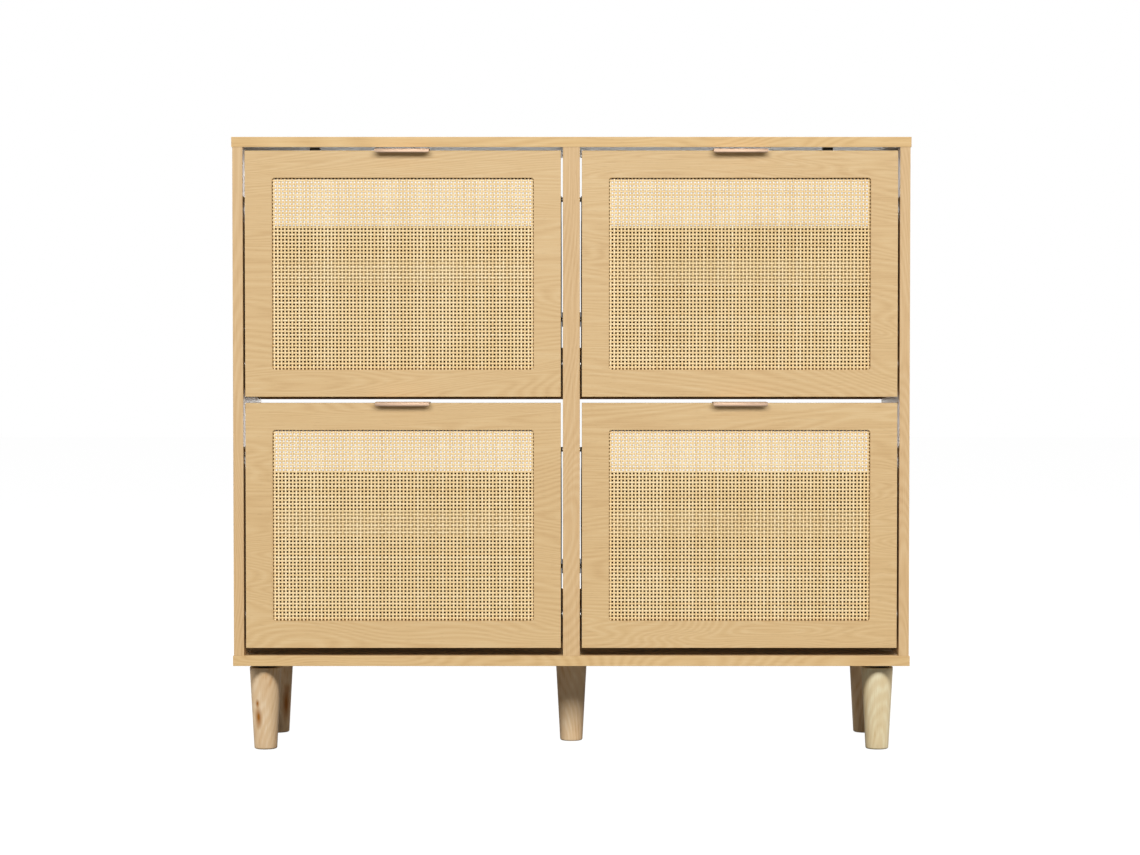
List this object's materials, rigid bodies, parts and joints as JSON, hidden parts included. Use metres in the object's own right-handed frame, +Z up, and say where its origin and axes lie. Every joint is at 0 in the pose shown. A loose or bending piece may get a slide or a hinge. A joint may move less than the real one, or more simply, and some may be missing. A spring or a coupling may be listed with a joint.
{
  "type": "shoe cabinet",
  "caption": "Low tilt-out shoe cabinet on tapered wood legs, with inset cane-panelled doors that swing forward on pins and carry sloping shoe racks.",
  "frame": {"origin": "on the floor, under the middle of the outer box with the door pulls; the carcass front is at y = -0.1075 m", "axes": "+X to the cabinet's right as seen from the front, -Y out of the doors, +Z up"},
  "size_m": [1, 0.265, 0.906],
  "materials": {
    "oak_laminate": "light oak laminate, satin, fine grain",
    "leg_wood": "clear-lacquered pale solid wood, turned",
    "cane": "natural woven rattan cane, satin",
    "rose_gold": "pale rose-gold lacquer, satin",
    "black_plastic": "black moulded plastic, fine texture",
    "dark_board": "dark-brown foil board, matt",
    "black_steel": "black powder coat",
    "zinc_steel": "bright zinc plate",
    "beech": "raw fluted beech"
  },
  "bodies": {
    "cabinet": {"top_panel": "oak_laminate", "bottom_panel": "oak_laminate", "left_side_panel": "oak_laminate", "right_side_panel": "oak_laminate", "centre_divider": "oak_laminate", "rear_rail_low_left": "oak_laminate", "rear_rail_low_right": "oak_laminate", "rear_rail_mid_left": "oak_laminate", "rear_rail_mid_right": "oak_laminate", "front_left_leg": "leg_wood", "front_right_leg": "leg_wood", "rear_left_leg": "leg_wood", "rear_right_leg": "leg_wood", "centre_leg": "leg_wood", "leg_mount_plates": "black_steel", "leg_hanger_bolts": "zinc_steel", "leg_mount_screws": "zinc_steel", "wood_dowels": "beech", "cam_fittings": "zinc_steel", "pivot_pins": "zinc_steel", "stop_pins": "zinc_steel", "magnetic_catches": "black_plastic"},
    "lower_left_flip": {"lower_left_door_frame": "oak_laminate", "lower_left_cane_panel": "cane", "lower_left_door_pull": "rose_gold", "lower_left_cross_rail": "oak_laminate", "lower_left_rack_side_left": "black_plastic", "lower_left_rack_side_right": "black_plastic", "lower_left_upper_shelf": "dark_board", "lower_left_lower_shelf": "dark_board", "lower_left_screws": "zinc_steel"},
    "lower_right_flip": {"lower_right_door_frame": "oak_laminate", "lower_right_cane_panel": "cane", "lower_right_door_pull": "rose_gold", "lower_right_cross_rail": "oak_laminate", "lower_right_rack_side_left": "black_plastic", "lower_right_rack_side_right": "black_plastic", "lower_right_upper_shelf": "dark_board", "lower_right_lower_shelf": "dark_board", "lower_right_screws": "zinc_steel"},
    "upper_left_flip": {"upper_left_door_frame": "oak_laminate", "upper_left_cane_panel": "cane", "upper_left_door_pull": "rose_gold", "upper_left_cross_rail": "oak_laminate", "upper_left_rack_side_left": "black_plastic", "upper_left_rack_side_right": "black_plastic", "upper_left_upper_shelf": "dark_board", "upper_left_lower_shelf": "dark_board", "upper_left_screws": "zinc_steel", "upper_left_strike_plate": "zinc_steel"},
    "upper_right_flip": {"upper_right_door_frame": "oak_laminate", "upper_right_cane_panel": "cane", "upper_right_door_pull": "rose_gold", "upper_right_cross_rail": "oak_laminate", "upper_right_rack_side_left": "black_plastic", "upper_right_rack_side_right": "black_plastic", "upper_right_upper_shelf": "dark_board", "upper_right_lower_shelf": "dark_board", "upper_right_screws": "zinc_steel", "upper_right_strike_plate": "zinc_steel"}
  },
  "joints": [
    {"name": "lower_left_tilt", "type": "hinge", "parent": "cabinet", "child": "lower_left_flip", "pos_m": [-0.248, -0.0835, 0.201], "axis": [1, 0, 0], "range_deg": [0, 50]},
    {"name": "lower_right_tilt", "type": "hinge", "parent": "cabinet", "child": "lower_right_flip", "pos_m": [0.248, -0.0835, 0.201], "axis": [1, 0, 0], "range_deg": [0, 50]},
    {"name": "upper_left_tilt", "type": "hinge", "parent": "cabinet", "child": "upper_left_flip", "pos_m": [-0.248, -0.0835, 0.572], "axis": [1, 0, 0], "range_deg": [0, 50]},
    {"name": "upper_right_tilt", "type": "hinge", "parent": "cabinet", "child": "upper_right_flip", "pos_m": [0.248, -0.0835, 0.572], "axis": [1, 0, 0], "range_deg": [0, 50]}
  ]
}
